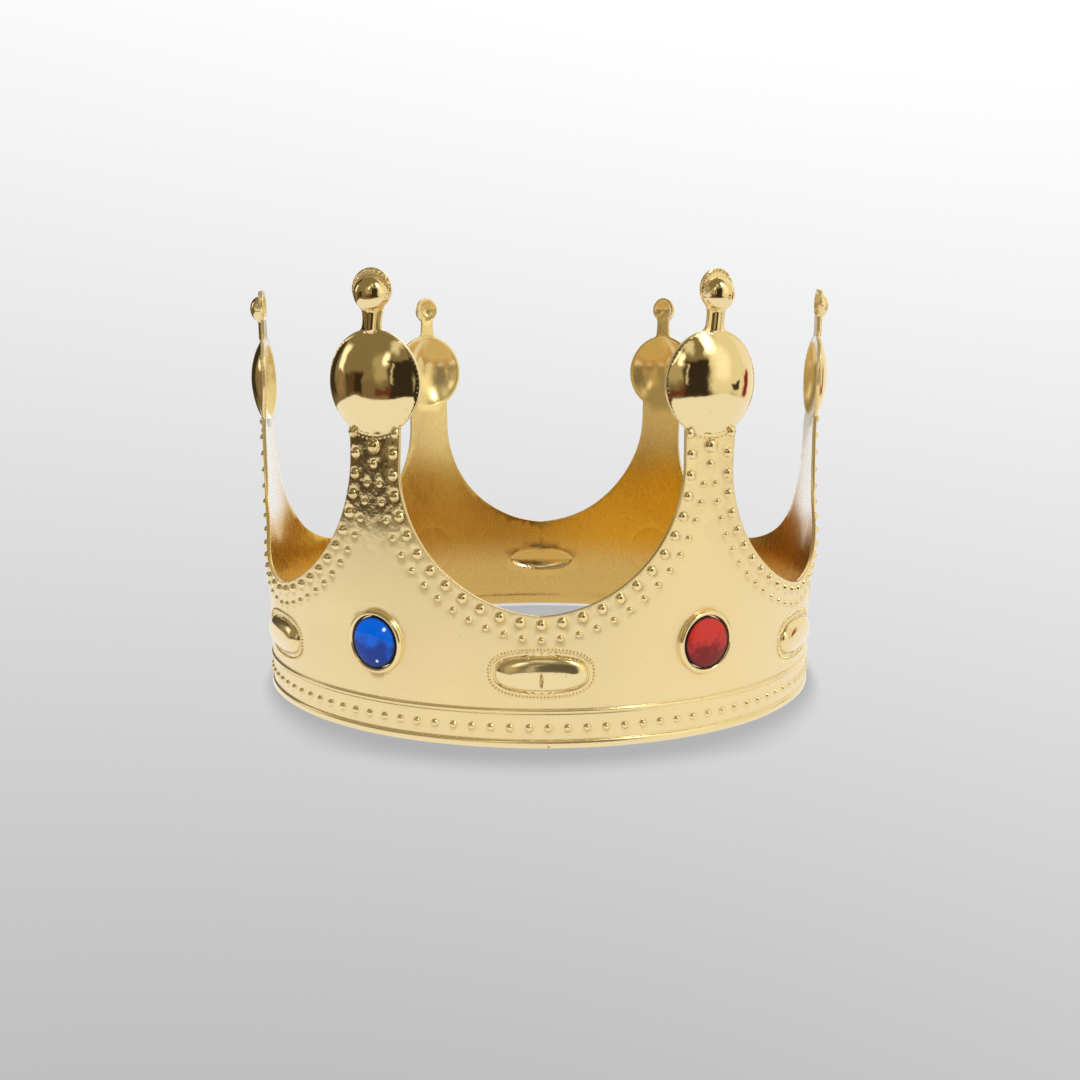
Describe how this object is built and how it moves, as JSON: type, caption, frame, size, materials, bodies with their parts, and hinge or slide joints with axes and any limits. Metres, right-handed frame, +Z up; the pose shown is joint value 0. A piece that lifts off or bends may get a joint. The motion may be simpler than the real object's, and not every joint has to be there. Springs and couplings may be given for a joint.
{
  "type": "party crown",
  "caption": "Gold moulded plastic party crown: a closed ring with domed, ball-tipped tines, bead rows, lozenges and glued round gems.",
  "frame": {"origin": "centre of the ring on the flat underside of its rim", "axes": "+Z up along the ring's axis; -Y through the front valley between two tines; +X to the wearer's left, through a tine"},
  "size_m": [0.1912, 0.1832, 0.1262],
  "materials": {
    "metallised_plastic": "vacuum-metallised gold, satin on the wall and mirror-bright on domes, balls and beads",
    "blue_acrylic": "clear blue, polished, foil-backed",
    "red_acrylic": "clear red, polished, foil-backed",
    "clear_adhesive": "clear, cured glue"
  },
  "bodies": {
    "root": {"crown_shell": "metallised_plastic", "gem_front_left": "blue_acrylic", "gem_front_right": "red_acrylic", "gem_side_right": "blue_acrylic", "gem_back_right": "red_acrylic", "gem_back_left": "blue_acrylic", "gem_side_left": "red_acrylic", "adhesive_front_left": "clear_adhesive", "adhesive_front_right": "clear_adhesive", "adhesive_side_right": "clear_adhesive", "adhesive_back_right": "clear_adhesive", "adhesive_back_left": "clear_adhesive", "adhesive_side_left": "clear_adhesive"}
  },
  "joints": []
}
